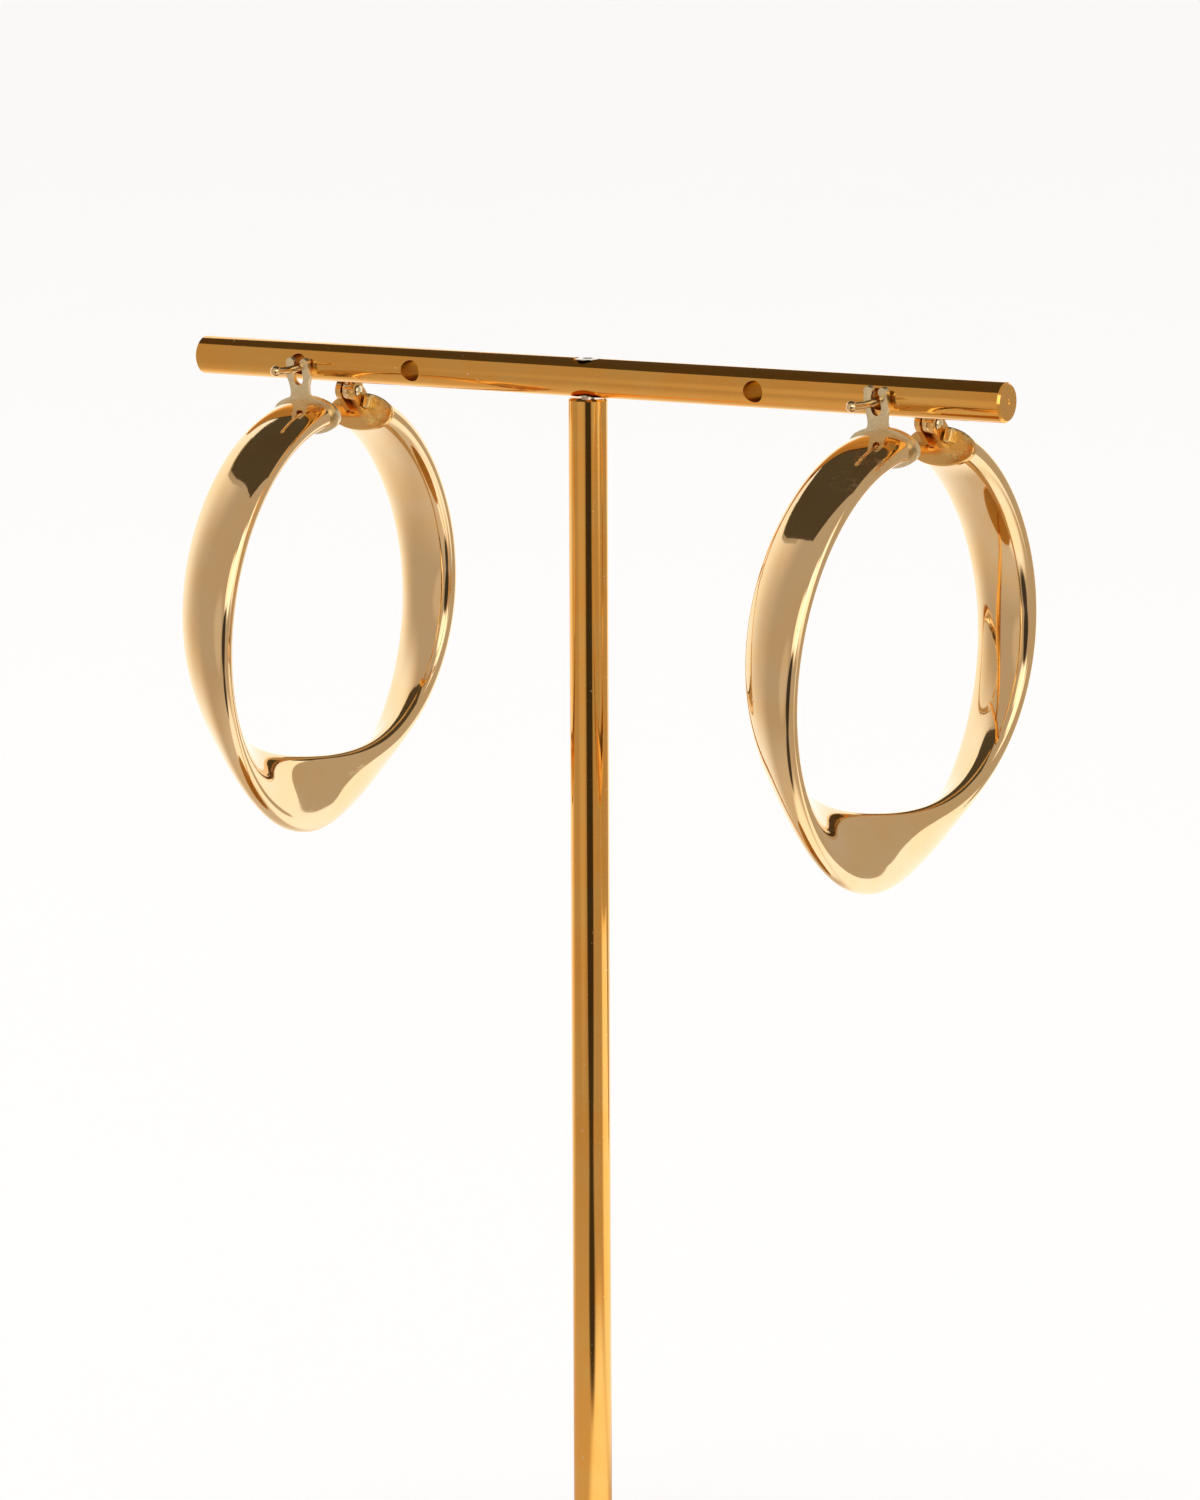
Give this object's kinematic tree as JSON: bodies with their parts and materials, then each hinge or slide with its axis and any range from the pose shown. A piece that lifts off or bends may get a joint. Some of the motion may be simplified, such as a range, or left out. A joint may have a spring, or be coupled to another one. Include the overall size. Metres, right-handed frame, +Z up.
{
  "type": "pair of twisted hoop earrings on a t-bar stand",
  "caption": "Pair of wide hollow gold hoops with a half-turn twist and hinged lever backs, hanging by their ear wires from the drilled crossbar of a plain brass T-bar display stand.",
  "frame": {"origin": "the middle of the underside of the stand's foot", "axes": "+Z up, +X along the crossbar to the right as seen from the front, -Y to the front, where the catches are"},
  "size_m": [0.0954, 0.07, 0.138],
  "materials": {
    "stand_brass": "polished",
    "screw_steel": "satin",
    "gold": "polished"
  },
  "bodies": {
    "stand": {"stand_base": "stand_brass", "stand_post": "stand_brass", "stand_crossbar": "stand_brass", "stand_screw": "screw_steel", "left_ear_wire": "gold", "right_ear_wire": "gold"},
    "left_earring": {"left_hoop": "gold", "left_hinge_pin": "gold"},
    "right_earring": {"right_hoop": "gold", "right_hinge_pin": "gold"}
  },
  "joints": [
    {"name": "left_lever_hinge", "type": "hinge", "parent": "stand", "child": "left_earring", "pos_m": [-0.0345, 0.00759, 0.1322], "axis": [0.9986, 0.0436, -0.0314], "range_deg": [0, 70]},
    {"name": "right_lever_hinge", "type": "hinge", "parent": "stand", "child": "right_earring", "pos_m": [0.03517, 0.00753, 0.13262], "axis": [0.9975, -0.061, -0.0349], "range_deg": [0, 70]}
  ]
}
